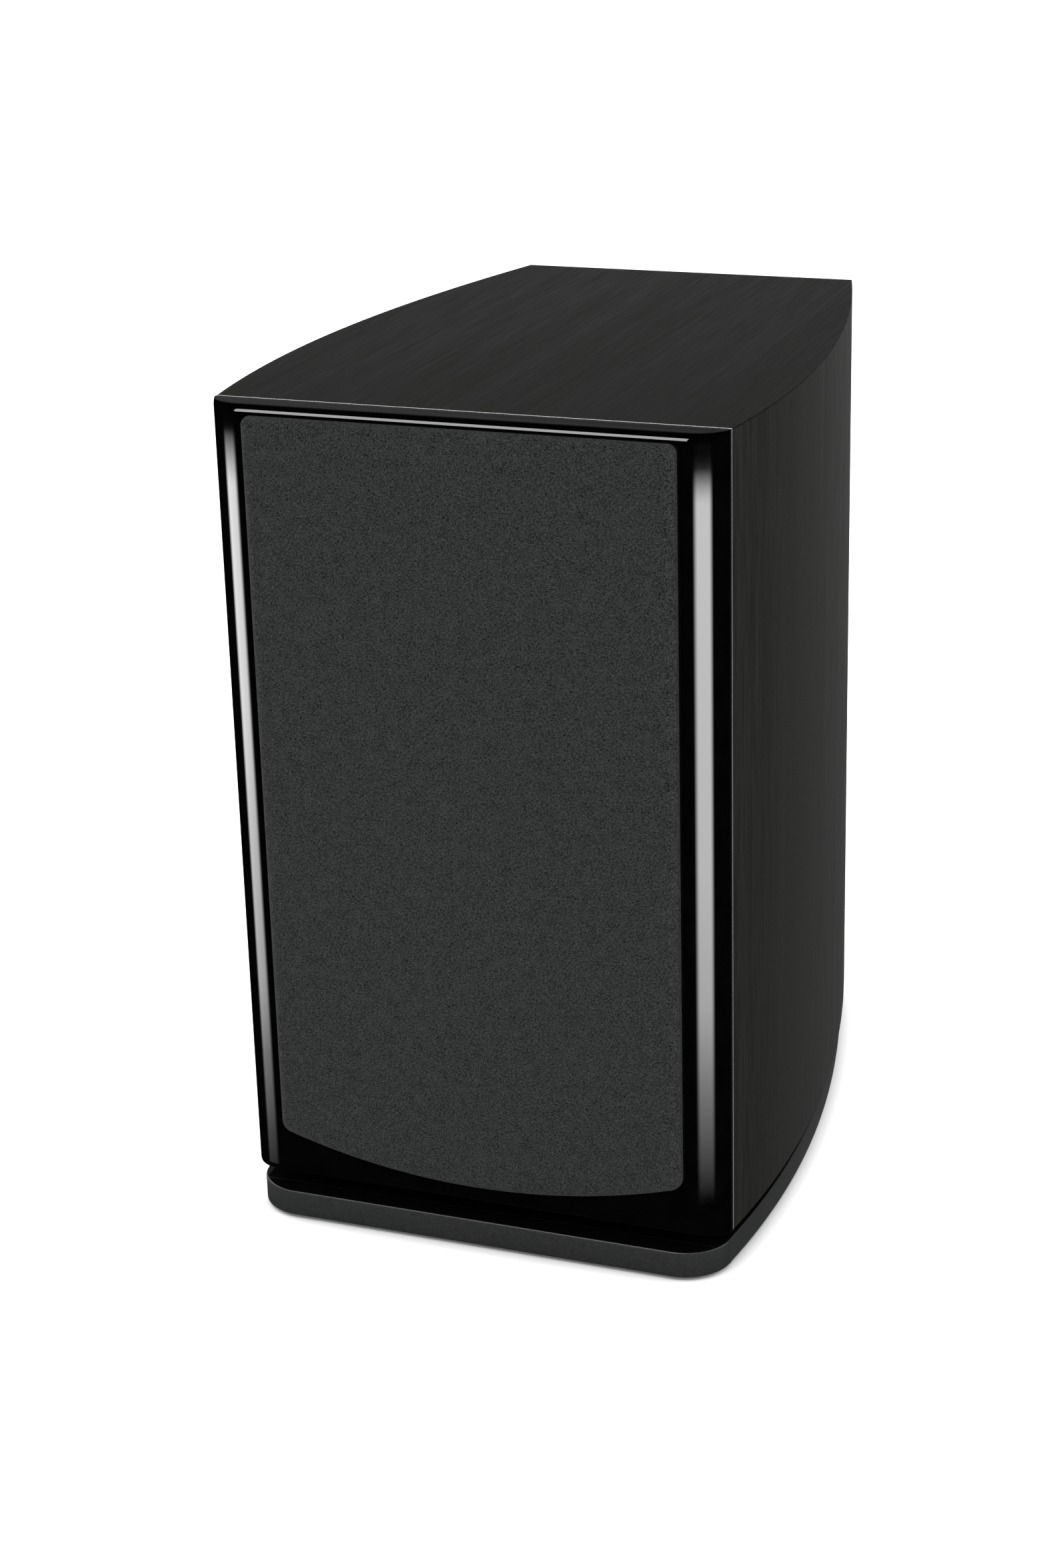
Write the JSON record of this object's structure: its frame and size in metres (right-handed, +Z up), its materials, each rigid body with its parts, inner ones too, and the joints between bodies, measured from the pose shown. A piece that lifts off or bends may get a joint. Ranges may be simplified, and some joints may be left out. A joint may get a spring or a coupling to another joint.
{
  "type": "bookshelf speaker",
  "caption": "Two-way bookshelf loudspeaker with curved veneered cabinet, gloss baffle, pull-off cloth grille, rear screw terminals and a plinth under a down-firing port.",
  "frame": {"origin": "centre of the bounding box on the plane that the feet stand on", "axes": "+Z up, the baffle and grille face -Y, +X to the right as seen from the front"},
  "size_m": [0.219, 0.3188, 0.3503],
  "materials": {
    "fibreboard": "raw medium-density fibreboard",
    "stained_veneer": "black-stained wood veneer, satin",
    "black_lacquer": "polished black lacquer",
    "gasket_foam": "thin grey sealing strip",
    "wadding": "loose polyester wadding",
    "grille_cloth": "stretched black speaker cloth",
    "black_plastic": "moulded black plastic, satin",
    "cast_basket": "cast frame, black powder coat",
    "black_rubber": "black rubber",
    "cone_polymer": "mineral-filled polymer, satin",
    "spider_cloth": "resin-treated cotton",
    "plated_steel": "zinc-plated steel",
    "ferrite": "ceramic ferrite",
    "copper_winding": "enamelled copper wire",
    "faceplate_metal": "black anodised, satin",
    "dome_cloth": "coated woven dome",
    "dark_spacer": "black painted metal",
    "gilt_brass": "gilded brass",
    "red_plastic": "red moulded plastic",
    "knob_black": "black moulded plastic",
    "circuit_board": "green resist on glass laminate",
    "film_blue": "blue film sleeve",
    "film_yellow": "yellow film sleeve",
    "lead_jacket": "red wire jacket"
  },
  "bodies": {
    "cabinet": {"side_panel_left": "fibreboard", "side_panel_right": "fibreboard", "top_panel": "fibreboard", "bottom_panel": "fibreboard", "back_panel": "fibreboard", "window_brace": "fibreboard", "damping_wadding": "wadding", "veneer_left": "stained_veneer", "veneer_right": "stained_veneer", "veneer_top": "stained_veneer", "veneer_back": "stained_veneer", "baffle": "black_lacquer", "baffle_gasket": "gasket_foam", "woofer_basket": "cast_basket", "woofer_surround": "black_rubber", "woofer_trim_ring": "black_plastic", "woofer_spider": "spider_cloth", "woofer_top_plate": "plated_steel", "woofer_magnet": "ferrite", "woofer_yoke": "plated_steel", "tweeter_faceplate": "faceplate_metal", "tweeter_surround": "black_rubber", "tweeter_top_plate": "plated_steel", "tweeter_magnet": "ferrite", "tweeter_yoke": "plated_steel", "port_tube": "black_plastic", "plinth": "black_lacquer", "plinth_spacer_front_left": "dark_spacer", "plinth_spacer_front_right": "dark_spacer", "plinth_spacer_back_left": "dark_spacer", "plinth_spacer_back_right": "dark_spacer", "foot_front_left": "black_rubber", "foot_front_right": "black_rubber", "foot_back_left": "black_rubber", "foot_back_right": "black_rubber", "terminal_plate": "black_plastic", "terminal_stud_red": "gilt_brass", "terminal_stud_black": "gilt_brass", "crossover_board": "circuit_board", "inductor_low_pass": "copper_winding", "inductor_high_pass": "copper_winding", "capacitor_low_pass": "film_blue", "capacitor_high_pass": "film_yellow", "lead_woofer": "lead_jacket", "lead_tweeter": "lead_jacket"},
    "grille": {"grille_frame": "black_plastic", "grille_cloth": "grille_cloth", "grille_peg_upper_left": "black_plastic", "grille_peg_upper_right": "black_plastic", "grille_peg_lower_left": "black_plastic", "grille_peg_lower_right": "black_plastic"},
    "woofer_cone_assembly": {"woofer_cone": "cone_polymer", "woofer_dust_cap": "cone_polymer", "woofer_voice_coil": "copper_winding"},
    "tweeter_dome_assembly": {"tweeter_dome": "dome_cloth", "tweeter_voice_coil": "copper_winding"},
    "clamp_red": {"terminal_washer_red": "gilt_brass"},
    "knob_red": {"terminal_knob_red": "red_plastic"},
    "clamp_black": {"terminal_washer_black": "gilt_brass"},
    "knob_black": {"terminal_knob_black": "knob_black"}
  },
  "joints": [
    {"name": "grille_pull", "type": "slide", "parent": "cabinet", "child": "grille", "axis": [0, -1, 0], "range_m": [0, 0.05]},
    {"name": "woofer_excursion", "type": "slide", "parent": "cabinet", "child": "woofer_cone_assembly", "axis": [0, -1, 0], "range_m": [-0.004, 0.004], "stiffness_N_per_m": 900, "deforming": ["woofer_surround", "woofer_spider"]},
    {"name": "tweeter_excursion", "type": "slide", "parent": "cabinet", "child": "tweeter_dome_assembly", "axis": [0, -1, 0], "range_m": [-0.0004, 0.0004], "stiffness_N_per_m": 2000, "deforming": ["tweeter_surround"]},
    {"name": "red_clamp_travel", "type": "slide", "parent": "cabinet", "child": "clamp_red", "axis": [0, 1, 0], "range_m": [0, 0.005]},
    {"name": "red_knob_turn", "type": "hinge", "parent": "clamp_red", "child": "knob_red", "pos_m": [0.0095, 0.1454, 0.1183], "axis": [0, 1, 0], "range_deg": [0, 1800]},
    {"name": "black_clamp_travel", "type": "slide", "parent": "cabinet", "child": "clamp_black", "axis": [0, 1, 0], "range_m": [0, 0.005]},
    {"name": "black_knob_turn", "type": "hinge", "parent": "clamp_black", "child": "knob_black", "pos_m": [-0.0095, 0.1454, 0.1183], "axis": [0, 1, 0], "range_deg": [0, 1800]}
  ],
  "couplings": [
    {"joint": "red_knob_turn", "follows": "red_clamp_travel", "rad_per_m": 6283},
    {"joint": "black_knob_turn", "follows": "black_clamp_travel", "rad_per_m": 6283}
  ]
}
